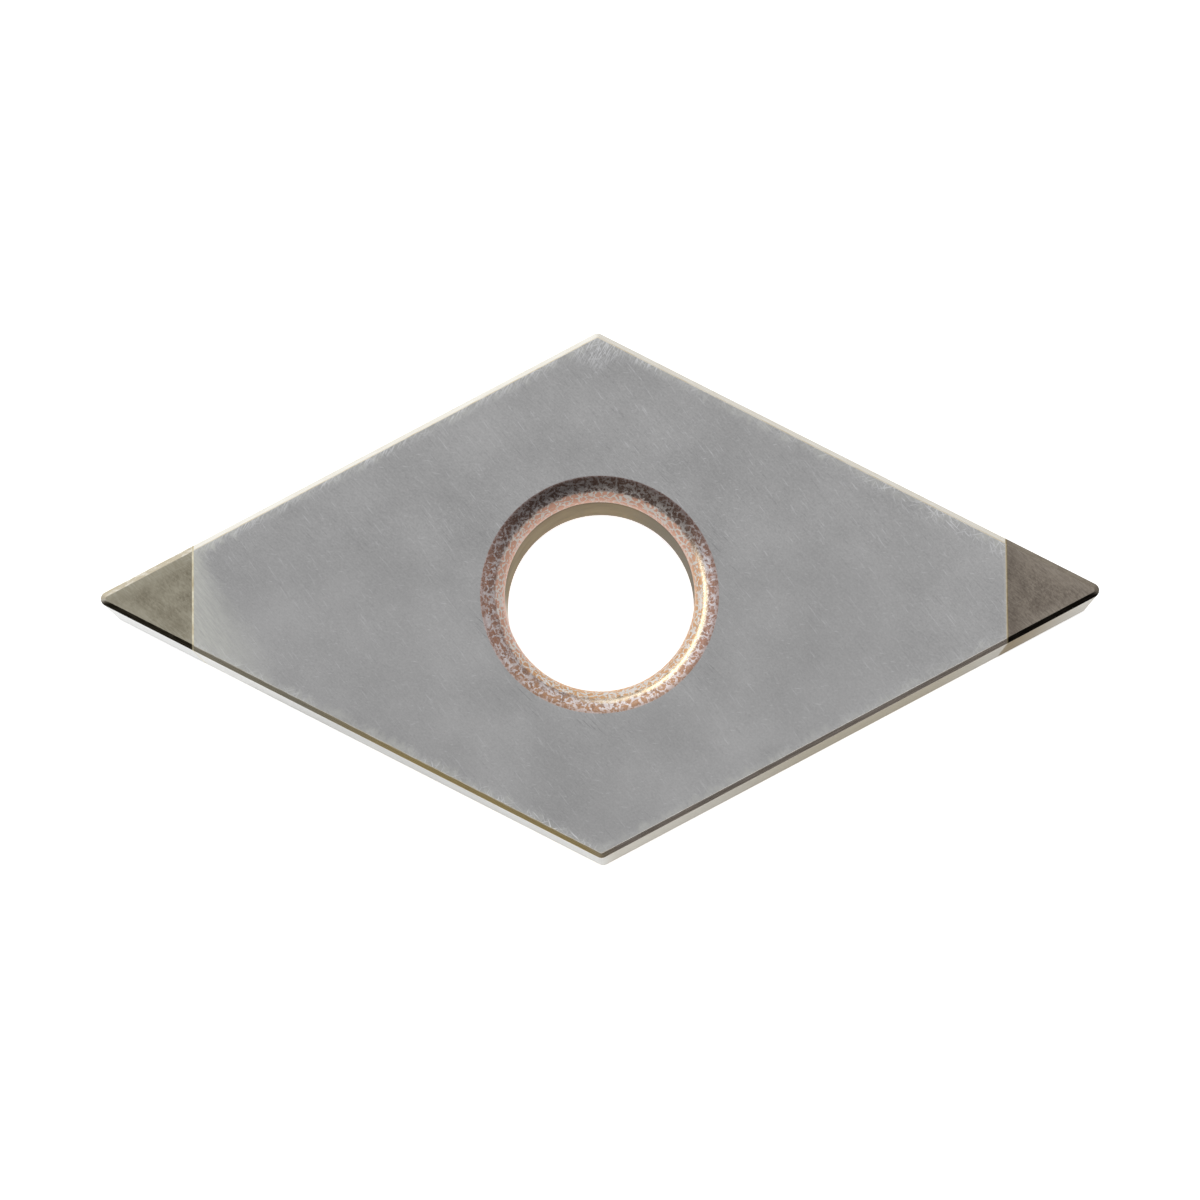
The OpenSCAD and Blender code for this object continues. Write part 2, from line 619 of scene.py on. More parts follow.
@dataclass(frozen=True)
class TarnishedMouth(Finish):
    """Rounded hole mouth left as sintered: silver lace over brown and copper, and a pale coppery lip, with a
    painted highlight along the fold and painted amber light on the lit side.
    """

    silver: Colour = srgb(228, 225, 230)
    copper: Colour = srgb(170, 131, 114)
    brown: Colour = srgb(112, 91, 84)
    tan: Colour = srgb(180, 142, 112)
    lip_silver: Colour = srgb(255, 253, 252)
    lip_copper: Colour = srgb(242, 196, 176)
    # Painted warm light and reflection on the lip.
    amber_light: Colour = srgb(246, 198, 142)
    # Near white colour of the painted highlight along the fold.
    ridge_highlight: Colour = srgb(252, 236, 206)
    lit_heading: Space = (0.8, -0.6, 0.0)
    rim_r: float = 3.23
    fold_r: float = 2.84
    hole_r: float = 2.58
    lip_metal: float = 0.45
    net_metal: float = 0.25

    def lace(self, place: Reading, moved: Reading, fine: Reading) -> Reading:
        """Silver net between brown islands, thick in places, with small clusters.

        Args:
            place: Place on the mouth.
            moved: The same place, jostled.
            fine: Fine specks, which thin the lace between them.

        Returns:
            Share of silver.
        """
        torn = place.grain(12.0, 3.0, 0.6)
        reach = place.grain(2.6).ease(0.38, 0.64, 0.05, 0.15)
        twigs = moved.net(8.0, reach, torn) * place.grain(2.3, 2.0).ease(0.42, 0.56) * 0.8
        clusters = moved.grain(3.1, 6.0, 0.7).ease(0.585, 0.64, 0.0, 0.9)
        return moved.net(4.3, reach, torn).most(twigs, clusters) * fine.ease(0.0, 1.0, 0.7, 1.0)

    def lip(self, place: Reading, moved: Reading, radius: Reading,
            lit_side: Reading) -> tuple[Reading, Reading]:
        """Lip inside the fold: copper islands in a matte white net, with painted amber light in front and
        towards the lit side.

        Args:
            place: Place on the mouth.
            moved: The same place, jostled.
            radius: Its distance from the hole's axis.
            lit_side: 1 on the side that catches the light, and 0 on the other.

        Returns:
            The lip's colour and its share of bare metal.
        """
        torn = place.grain(14.0, 3.0, 0.6)
        reach = place.grain(4.0).ease(0.38, 0.62, 0.06, 0.18)
        clusters = moved.grain(5.0, 4.0, 0.6).ease(0.61, 0.66)
        net = moved.net(5.4, reach, torn).most(clusters)
        net = net * radius.ease(self.hole_r + 0.02, self.hole_r + 0.09, 0.5, 1.0)
        # Painted amber light: on the near side and towards the lit side.
        front = place.split()[1].ease(-1.0, -2.4, 0.0, 0.85)
        islands = (lit_side * 0.7).most(front).mix(self.lip_copper, self.amber_light)
        return net.mix(islands, self.lip_silver), net.ease(0.0, 1.0, self.lip_metal, self.net_metal)

    def paint(self, place: Reading) -> Coat:
        """Makes the coat.

        Args:
            place: Place on the piece, in millimetres.

        Returns:
            The coat.
        """
        y = place.split()[1]
        fold_r = self.fold_r
        radius = place.radius()
        moved = place.jostled(7.0, 0.1)
        torn = radius + (place.grain(5.0, 4.0, 0.65) - 0.5) * 0.2
        fine = place.grain(19.0, 3.0, 0.65).ease(0.5, 0.62)
        rim = radius.ease(self.rim_r - 0.16, self.rim_r - 0.02)
        full = y.ease(0.6, 2.6, 1.0, 0.55).most(radius.ease(fold_r + 0.24, fold_r + 0.06))
        lace = self.lace(place, moved, fine) * rim.ease(0.0, 1.0, 1.0, 0.45) * full
        crumbs = place.grain(11.0, 4.0, 0.65).ease(0.44, 0.58, 0.2, 1.0)
        crust = crumbs * torn.ease(fold_r + 0.2, fold_r + 0.01, 0.0, 0.2)
        share = place.bench.sum(Op.LEAST, lace.most(fine * 0.16) + crust, 1.0)
        islands = y.ease(2.5, 0.4).mix(self.brown, self.copper)
        islands = y.ease(-1.2, -2.8, 0.0, 0.8).mix(islands, self.tan)
        blots = place.grain(3.6, 3.0, 0.6).ease(0.5, 0.6, 0.0, 0.45)
        islands = (rim * 0.45).most(blots).mix(islands, self.brown)
        inside = torn.ease(fold_r + 0.02, fold_r - 0.06)
        lit_side = place.along(self.lit_heading).ease(0.8, 2.2)
        lip, lip_metal = self.lip(place, moved, radius, lit_side)
        colour = inside.mix(share.mix(islands, self.silver), lip)
        # Painted highlight along the fold on the lit side, made more metallic and smoother below.
        fold = torn.ease(fold_r + 0.15, fold_r + 0.05) * radius.ease(fold_r - 0.06, fold_r - 0.01)
        ridge_glint = fold * lit_side * crumbs.ease(0.25, 1.0, 1.0, 0.7)
        colour = (ridge_glint * 0.75).mix(colour, self.ridge_highlight)
        metal = (1.0 - inside * (1.0 - lip_metal)).most(ridge_glint)
        rough = inside.ease(0.0, 1.0, 0.3, 0.44) * ridge_glint.ease(0.0, 1.0, 1.0, 0.7)
        height = (share + fine * 0.4) * ridge_glint.ease(0.0, 1.0, 1.0, 0.2)
        return Coat(colour, rough, height.relief(2.5 * MICRON, 0.6), metal)


@dataclass(frozen=True)
class BoreWall(Finish):
    """Straight hole wall, sintered and dull, with painted light: paler towards the right, and palest on the
    near side so that the mouth's lip mirrors it bright.
    """

    base: Colour = srgb(146, 132, 102)
    dark: Colour = srgb(116, 102, 77)
    pale: Colour = srgb(126, 116, 99)
    near: Colour = srgb(248, 238, 230)
    tint: Colour = (0.76, 0.72, 0.66, 1.0)
    right_tint: Colour = (0.62, 0.63, 0.62, 1.0)

    def paint(self, place: Reading) -> Coat:
        """Makes the coat.

        Args:
            place: Place on the piece, in millimetres.

        Returns:
            The coat.
        """
        x, y, _ = place.split()
        skin = place.grain(16.0, 3.0, 0.6)
        tone = place.grain(0.9, 4.0, 0.6) * 0.45 + skin * 0.55
        colour = tone.ease(0.36, 0.64).mix(self.dark, self.base)
        # Painted light: greyer towards the right, where more light falls, with a more neutral tint below.
        colour = x.ease(0.3, 2.0, 0.0, 0.85).mix(colour, self.pale)
        # Painted light: near white, with a white tint, on the near side.
        near = y.ease(0.3, -0.7)
        colour = (near * 0.9).mix(colour, self.near)
        tint = near.mix(x.ease(0.3, 2.0).mix(self.tint, self.right_tint), WHITE)
        return Coat(colour, skin.ease(0.3, 0.7, 0.5, 0.62), skin.relief(2 * MICRON, 0.6), tint=tint)


@dataclass(frozen=True)
class NitrideFace(Finish):
    """Ground boron nitride: cloudy olive to brown grey with fine slanting scratches."""

    dark: Colour = srgb(108, 102, 87)
    light: Colour = srgb(172, 167, 151)
    rub: Colour = srgb(186, 184, 172)
    lines: Strokes = Strokes(-38.0, 0.3, 0.022, 3.0)
    crossing: Strokes = Strokes(-70.0, 0.24, 0.024, 2.0)
    hairs: Strokes = Strokes(24.0, 0.5, 0.018)
    rubs: Strokes = Strokes(-44.0, 0.3, 0.02)
    grit: float = 1.0
    cloud_grit: float = 0.72
    softness: float = 0.58
    edge_share: float = 0.35
    seam_share: float = 0.0
    rule: FlankRule = FlankRule()

    def paint(self, place: Reading) -> Coat:
        """Makes the coat.

        Args:
            place: Place on the piece, in millimetres.

        Returns:
            The coat.
        """
        x, y, _ = place.split()
        gap = self.rule.gap(place)
        clouds = place.grain(1.5, 8.0, self.cloud_grit, 0.4)
        lines = place.streaks(self.lines)
        speckle = place.grain(13.0, 3.0, 0.65)
        tone = clouds + (lines * 0.5 + place.streaks(self.crossing) * 0.3 + speckle * 0.4) * self.grit
        start = 0.53 + 0.6 * self.grit - self.softness / 2
        colour = tone.ease(start, start + self.softness).mix(self.dark, self.light)
        pale = gap.ease(0.12, 0.65, self.edge_share, 0.0) * y.ease(-0.1, 0.1, 0.6, 1.0)
        colour = pale.mix(colour, self.light)
        colour = x.ease(11.04, 11.9, self.seam_share, 0.0).mix(colour, self.dark)
        hairs = place.streaks(self.hairs).ease(0.66, 0.78, 0.0, 0.35)
        rubs = place.streaks(self.rubs).ease(0.52, 0.66, 0.0, 0.4) * gap.ease(0.13, 0.5, 1.0, 0.0)
        colour = hairs.most(rubs).mix(colour, self.rub)
        normal = (lines + speckle * 0.7).relief(1.6 * MICRON, 0.8)
        return Coat(colour, clouds.ease(0.3, 0.7, 0.38, 0.5), normal)


@dataclass(frozen=True)
class NitrideLand(Finish):
    """Cutting bevel of a tip, painted with its light and shade: near black shade along the front edge, and a
    paler reflection with bright highlight patches along the back one.
    """

    front: Colour = srgb(44, 40, 32)
    back: Colour = srgb(190, 181, 162)
    glint_patch: Colour = srgb(232, 229, 221)
    rule: FlankRule = FlankRule()

    def paint(self, place: Reading) -> Coat:
        """Makes the coat.

        Args:
            place: Place on the piece, in millimetres.

        Returns:
            The coat.
        """
        gap = self.rule.gap(place)
        lines = self.rule.drawn(place, 3.0, gap * 60.0)
        patches = self.rule.drawn(place, 3.2, gap * 9.0, 4.0, 0.6)
        # Painted reflection on the back side, with painted highlight patches.
        back = patches.ease(0.46, 0.62, 0.0, 0.6).mix(self.back, self.glint_patch)
        # Painted shade: near black on the front side.
        colour = place.split()[1].ease(-0.16, 0.03).mix(self.front, back)
        colour = lines.ease(0.4, 0.8, 0.0, 0.18).mix(colour, self.back)
        return Coat(colour, lines.ease(0.3, 0.7, 0.22, 0.32), lines.relief(0.6 * MICRON, 0.7))


@dataclass(frozen=True)
class BrazeFilm(Finish):
    """Braze ground flush with the faces: pale brass, brighter and duller by turns; on the right seam a
    painted edge highlight gives way to dark braze.
    """

    base: Colour = srgb(216, 210, 188)
    dull: Colour = srgb(188, 176, 146)
    seam_edge_glint: Colour = srgb(178, 167, 148)
    deep: Colour = srgb(116, 101, 68)

    def paint(self, place: Reading) -> Coat:
        """Makes the coat.

        Args:
            place: Place on the piece, in millimetres.

        Returns:
            The coat.
        """
        x = place.split()[0]
        skin = place.grain(26.0, 2.0, 0.6)
        left = place.grain(2.0, 4.0, 0.6).ease(0.35, 0.7).mix(self.base, self.dull)
        # Right seam: a painted highlight on the body's side, then dark braze.
        right = x.ease(11.0, 11.034).mix(self.seam_edge_glint, self.deep)
        colour = x.ease(-1.0, 1.0, 0.0, 0.9).mix(left, right)
        return Coat(colour, skin.ease(0.3, 0.7, 0.3, 0.45), skin.relief(1.5 * MICRON, 0.6))


def spread(a: float, b: float, count: int) -> list[float]:
    """count + 1 even steps from a to b."""
    return [a + (b - a) * i / count for i in range(count + 1)]


def line(a: Sequence[float], b: Sequence[float], shares: Sequence[float]) -> list[Plan]:
    """Points at given shares of the way from a to b."""
    return [(a[0] + (b[0] - a[0]) * s, a[1] + (b[1] - a[1]) * s) for s in shares]


@dataclass(frozen=True)
class Rhombus:
    """The ground outline in plan, with its corners rounded."""

    reach: float = 6.35 * MM
    half_point: float = math.radians(27.5)
    nose_r: float = 0.20 * MM
    heel_r: float = 0.20 * MM

    @property
    def half_heel(self) -> float:
        """Half the angle of a blunt corner."""
        return math.pi / 2 - self.half_point

    def half_width(self, x: float, inset: float) -> float:
        """Half the width at a distance from the hole's axis, drawn inset inside the flanks."""
        return ((self.reach - inset) / math.sin(self.half_point) - x) * math.tan(self.half_point)

    def arc(self, centre: Plan, radius: float, middle: float, half_turn: float, count: int) -> list[Plan]:
        """Points of a corner's round, counterclockwise.

        Args:
            centre: Centre of the round.
            radius: Its radius.
            middle: Direction of its middle.
            half_turn: Half the angle that it turns through.
            count: Number of steps.

        Returns:
            count + 1 points.
        """
        turns = [middle + half_turn * (2 * i / count - 1) for i in range(count + 1)]
        return [(centre[0] + radius * math.cos(a), centre[1] + radius * math.sin(a)) for a in turns]

    def nose(self, inset: float, count: int) -> list[Plan]:
        """Round of the right-hand cutting nose."""
        centre = ((self.reach - self.nose_r) / math.sin(self.half_point), 0.0)
        return self.arc(centre, self.nose_r - inset, 0.0, self.half_heel, count)

    def heel(self, inset: float, count: int) -> list[Plan]:
        """Round of the upper blunt corner."""
        centre = (0.0, (self.reach - self.heel_r) / math.sin(self.half_heel))
        return self.arc(centre, self.heel_r - inset, math.pi / 2, self.half_point, count)


@dataclass(frozen=True)
class Rung:
    """One level of a piece's side: how far inside the flanks and ends, how high, and what lies below it."""

    inset: float
    z: float
    below: Region
    end_inset: float = 0.0


@dataclass(frozen=True)
class EdgeSection:
    """Section through an edge of the insert: face, bevelled land and flank, with both corners honed."""

    thickness: float = 4.76 * MM
    land_w: float = 0.13 * MM
    land_slope: float = math.radians(20)
    face_hone: float = 0.007 * MM
    flank_hone: float = 0.008 * MM
    face_margin: float = 0.03 * MM
    hone_steps: int = 4
    land_shares: tuple[float, ...] = (0.12, 0.5, 0.88)
    flank_steps: int = 6

    def honed(self, corner: Plan, into: Plan, out_of: Plan, cut: float) -> list[Plan]:
        """Rounds a corner of the section.

        Args:
            corner: The sharp corner, as distance outward and height.
            into: Direction of the line that comes to it.
            out_of: Direction of the line that leaves it.
            cut: Distance from the corner at which the round starts and ends.

        Returns:
            The points of the round.
        """
        turn = math.acos(into[0] * out_of[0] + into[1] * out_of[1])
        radius = cut / math.tan(turn / 2)
        start = (corner[0] - into[0] * cut, corner[1] - into[1] * cut)
        out = (-into[1], into[0])
        centre = (start[0] - out[0] * radius, start[1] - out[1] * radius)
        points = []
        for i in range(self.hone_steps + 1):
            a = -turn * i / self.hone_steps
            c, s = math.cos(a), math.sin(a)
            points.append((centre[0] + radius * (out[0] * c - out[1] * s),
                           centre[1] + radius * (out[0] * s + out[1] * c)))
        return points

    def rungs(self) -> list[Rung]:
        """Levels from the upper face's margin to the lower face's.

        Returns:
            The levels, top first.
        """
        slope = (math.cos(self.land_slope), -math.sin(self.land_slope))
        drop = self.land_w * math.tan(self.land_slope)
        top = self.thickness
        face_round = self.honed((-self.land_w, top), (1.0, 0.0), slope, self.face_hone)
        edge_round = self.honed((0.0, top - drop), slope, (0.0, -1.0), self.flank_hone)
        bevel = face_round + line(face_round[-1], edge_round[0], self.land_shares) + edge_round
        half = [Rung(self.face_margin - face_round[0][0], top, Region.FACE, self.face_margin)]
        half += [Rung(-out, z, Region.LAND) for out, z in bevel]
        half[-1] = replace(half[-1], below=Region.FLANK)
        low = half[-1].z - self.flank_hone
        half.append(Rung(0.0, low, Region.FLANK))
        middle = [Rung(0.0, z, Region.FLANK) for z in spread(low, top - low, self.flank_steps)[1:-1]]
        above = [Region.FACE] + [rung.below for rung in half[:-1]]
        lower = [Rung(rung.inset, top - rung.z, region, rung.end_inset) for rung, region in zip(half, above)]
        return half + middle + lower[::-1]


class SkinMesh:
    """Collects rings and rows of points and skins them into one closed mesh."""

    def __init__(self) -> None:
        """Starts empty."""
        self.bm = bmesh.new()

    def ring(self, points: Sequence[Plan], z: float) -> Ring:
        """Adds a ring of points at a height."""
        return [self.bm.verts.new((x, y, z)) for x, y in points]

    def skin(self, first: Ring, second: Ring, region: Region, ends: Collection[int] = ()) -> None:
        """Joins two closed rings with four-sided faces.

        Args:
            first: One ring.
            second: The next ring, with as many points.
            region: Region of the new faces.
            ends: Columns of the brazed ends, which are ground like a flank.
        """
        count = len(first)
        for i in range(count):
            j = (i + 1) % count
            face = self.bm.faces.new((first[i], first[j], second[j], second[i]))
            face.material_index = (Region.FLANK if i in ends else region).value

    def side(self, loop: Callable[[float, float], list[Plan]], rungs: Sequence[Rung],
             ends: Collection[int] = ()) -> tuple[Ring, Ring]:
        """Builds a piece's side.

        Args:
            loop: Gives the outline at an inset and an end inset.
            rungs: The levels, top first.
            ends: Columns of the brazed ends.

        Returns:
            The borders of the upper and the lower face.
        """
        rings = [self.ring(loop(rung.inset, rung.end_inset), rung.z) for rung in rungs]
        for upper, lower, first, second in zip(rungs, rungs[1:], rings, rings[1:]):
            self.skin(first, second, upper.below, () if upper.z == lower.z else ends)
        return rings[0], rings[-1]

    def fill(self, rows: Sequence[Ring]) -> None:
        """Fills a face between rows of points; the last row may be a single point.

        Args:
            rows: The rows, side by side.
        """
        for near, far in zip(rows, rows[1:]):
            for i in range(len(near) - 1):
                last = (far[0],) if len(far) == 1 else (far[i + 1], far[i])
                self.bm.faces.new((near[i], near[i + 1], *last)).material_index = Region.FACE.value

    def piece(self, name: str, mirrored: bool, finishes: Sequence[bpy.types.Material]) -> bpy.types.Object:
        """Closes the mesh and makes the object.

        Args:
            name: Name of the piece.
            mirrored: True to turn it into its left-hand copy.
            finishes: Materials in the order of the regions.

        Returns:
            The object.
        """
        if mirrored:
            bmesh.ops.scale(self.bm, vec=(-1, 1, 1), verts=self.bm.verts)
        bmesh.ops.recalc_face_normals(self.bm, faces=self.bm.faces)
        sharp = math.radians(33)
        for face in self.bm.faces:
            face.smooth = True
        for edge in self.bm.edges:
            edge.smooth = edge.calc_face_angle(0.0) < sharp
        mesh = bpy.data.meshes.new(name)
        self.bm.to_mesh(mesh)
        self.bm.free()
        for finish in finishes:
            mesh.materials.append(finish)
        piece = bpy.data.objects.new(name, mesh)
        bpy.context.collection.objects.link(piece)
        return piece


@dataclass
class CarbideBody:
    """The cemented carbide body with its clamping hole and two rounded mouths."""

    end_x: float = 10.99 * MM
    hole_r: float = 2.58 * MM
    mouth_w: float = 0.65 * MM
    mouth_face_slope: float = math.radians(15)
    mouth_hole_slope: float = math.radians(76)
    rim_margin: float = 0.02 * MM
    mouth_steps: int = 18
    end_steps: int = 16
    flank_steps: int = 120
    heel_steps: int = 12
    face_rings: int = 12
    bore_steps: int = 8
    outline: Rhombus = field(default_factory=Rhombus)
    edge: EdgeSection = field(default_factory=EdgeSection)

    def loop(self, inset: float, end_inset: float) -> list[Plan]:
        """The body's outline at an inset, counterclockwise from its lower right corner.

        Args:
            inset: Distance inside the flanks.
            end_inset: Distance inside the two ends.

        Returns:
            The points.
        """
        x = self.end_x - end_inset
        w = self.outline.half_width(x, inset)
        heel = self.outline.heel(inset, self.heel_steps)
        flank = line((x, w), heel[0], self.flank_shares())[1:-1]
        right = [(x, y) for y in spread(-w, w, self.end_steps)]
        half = right + flank + heel + [(-px, py) for px, py in flank[::-1]]
        return half + [(-px, -py) for px, py in half]

    def flank_shares(self) -> list[float]:
        """Steps along a flank that stand at even angles round the hole.

        Returns:
            The steps, as shares of the flank's length.
        """
        face = self.outline.half_heel
        heel_x, heel_y = self.outline.heel(0.0, 2)[0]
        start = math.atan2(self.outline.half_width(self.end_x, 0.0), self.end_x)
        end = math.atan2(heel_y, heel_x)
        near, far = math.tan(start - face), math.tan(end - face)
        return [(math.tan(a - face) - near) / (far - near) for a in spread(start, end, self.flank_steps)]

    def mouth(self) -> list[Plan]:
        """Section of the upper mouth from the face to the straight wall.

        Returns:
            The points, as radius and height.
        """
        a, b = self.mouth_face_slope, self.mouth_hole_slope
        r = self.mouth_w / (math.sin(b) - math.sin(a))
        centre = (self.hole_r + r * math.sin(b), self.edge.thickness - r * math.cos(a))
        turns = spread(a, b, self.mouth_steps)
        return [(centre[0] - r * math.sin(t), centre[1] + r * math.cos(t)) for t in turns]

    def hole(self, skin: SkinMesh, bearings: Sequence[float]) -> tuple[Ring, Ring]:
        """Skins the hole with its two mouths and a narrow margin on each face.

        Args:
            skin: The mesh that it is added to.
            bearings: Directions of its columns.

        Returns:
            The hole's borders in the upper and the lower face.
        """
        upper = self.mouth()
        lower = [(r, self.edge.thickness - z) for r, z in upper[::-1]]
        wall = [(self.hole_r, z) for z in spread(upper[-1][1], lower[0][1], self.bore_steps)[1:-1]]
        first = (upper[0][0] + self.rim_margin, upper[0][1])
        last = (lower[-1][0] + self.rim_margin, lower[-1][1])
        curve = [Region.MOUTH] * self.mouth_steps
        regions = [Region.FACE, *curve, *[Region.BORE] * self.bore_steps, *curve, Region.FACE]
        circles = [skin.ring([(r * math.cos(a), r * math.sin(a)) for a in bearings], z)
                   for r, z in (first, *upper, *wall, *lower, last)]
        for above, below, region in zip(circles, circles[1:], regions):
            skin.skin(above, below, region)
        return circles[0], circles[-1]

    def build(self, finishes: Sequence[bpy.types.Material]) -> bpy.types.Object:
        """Builds the body.

        Args:
            finishes: Materials in the order of the regions.

        Returns:
            The body.
        """
        skin = SkinMesh()
        outline = self.loop(0.0, 0.0)
        ends = {i + k for i in range(self.end_steps) for k in (0, len(outline) // 2)}
        borders = skin.side(self.loop, self.edge.rungs(), ends)
        circles = self.hole(skin, [math.atan2(y, x) for x, y in outline])
        for circle, border, z in zip(circles, borders, (self.edge.thickness, 0.0)):
            last = circle
            for share in spread(0.0, 1.0, self.face_rings)[1:-1]:
                ring = skin.ring([line(a.co, b.co, (share,))[0] for a, b in zip(circle, border)], z)
                skin.skin(last, ring, Region.FACE)
                last = ring
            skin.skin(last, border, Region.FACE)
        return skin.piece("body", False, finishes)


@dataclass
class NitrideTip:
    """One boron nitride corner, from its brazed back to its rounded cutting nose."""

    side: Side
    back_x: float = 11.04 * MM
    flank_steps: int = 40
    nose_steps: int = 24
    back_steps: int = 16
    outline: Rhombus = field(default_factory=Rhombus)
    edge: EdgeSection = field(default_factory=EdgeSection)

    @property
    def turn(self) -> int:
        """Column of the nose's middle point."""
        return self.flank_steps + self.nose_steps // 2

    def loop(self, inset: float, end_inset: float) -> list[Plan]:
        """The tip's outline at an inset, counterclockwise from its lower back corner.

        Args:
            inset: Distance inside the flanks.
            end_inset: Distance inside the back.

        Returns:
            The points.
        """
        x = self.back_x + end_inset
        w = self.outline.half_width(x, inset)
        nose = self.outline.nose(inset, self.nose_steps)
        lower = line((x, -w), nose[0], spread(0.0, 1.0, self.flank_steps))
        upper = [(px, -py) for px, py in lower][::-1]
        back = [(x, y) for y in spread(w, -w, self.back_steps)]
        return lower[:-1] + nose + upper[1:] + back[1:-1]

    def rows(self, skin: SkinMesh, ring: Ring) -> list[Ring]:
        """Rows of points across a face, from the back to the nose.

        Args:
            skin: Where new points are added.
            ring: The face's border.

        Returns:
            The rows, of which the last is the nose's middle point.
        """
        turn = self.turn
        lower = ring[:turn + 1]
        upper = [ring[2 * turn - i] for i in range(turn + 1)]
        rows = [[lower[0], *ring[2 * turn + 1:][::-1], upper[0]]]
        n = self.back_steps
        for a, b in zip(lower[1:-1], upper[1:-1]):
            inner = [skin.bm.verts.new(a.co.lerp(b.co, i / n)) for i in range(1, n)]
            rows.append([a, *inner, b])
        return [*rows, [lower[-1]]]

    def build(self, finishes: Sequence[bpy.types.Material]) -> bpy.types.Object:
        """Builds the tip.

        Args:
            finishes: Materials in the order of the regions.

        Returns:
            The tip.
        """
        skin = SkinMesh()
        back = range(2 * self.turn, 2 * self.turn + self.back_steps)
        for border in skin.side(self.loop, self.edge.rungs(), back):
            skin.fill(self.rows(skin, border))
        return skin.piece(f"{self.side.name.lower()}_tip", self.side is Side.LEFT, finishes)


@dataclass
class BrazeSeam:
    """The film of braze between the body and a tip."""

    side: Side
    start_x: float = 10.99 * MM
    end_x: float = 11.04 * MM
    across_steps: int = 16
    outline: Rhombus = field(default_factory=Rhombus)
    edge: EdgeSection = field(default_factory=lambda: EdgeSection(face_margin=0.012 * MM))

    def loop(self, inset: float, end_inset: float) -> list[Plan]:
        """The seam's outline at an inset, counterclockwise from its lower left corner.

        Args:
            inset: Distance inside the flanks.
            end_inset: Distance inside the two brazed sides.

        Returns:
            The points.
        """
        x0, x1 = self.start_x + end_inset, self.end_x - end_inset
        middle = (x0 + x1) / 2
        w0, wm, w1 = (self.outline.half_width(x, inset) for x in (x0, middle, x1))
        far = [(x1, y) for y in spread(-w1, w1, self.across_steps)]
        near = [(x0, y) for y in spread(w0, -w0, self.across_steps)]
        return [(x0, -w0), (middle, -wm), *far, (middle, wm), *near[:-1]]

    def build(self, finishes: Sequence[bpy.types.Material]) -> bpy.types.Object:
        """Builds the seam.

        Args:
            finishes: The one finish of the braze.

        Returns:
            The seam.
        """
        skin = SkinMesh()
        n = self.across_steps
        for ring in skin.side(self.loop, [replace(rung, below=Region.FACE) for rung in self.edge.rungs()]):
            near = [ring[0], *ring[n + 4:][::-1]]
            far = ring[2:n + 3]
            low, high = ring[1], ring[n + 3]
            inner = [skin.bm.verts.new(low.co.lerp(high.co, i / n)) for i in range(1, n)]
            skin.fill([near, [low, *inner, high], far])
        return skin.piece(f"{self.side.name.lower()}_seam", self.side is Side.LEFT, finishes)


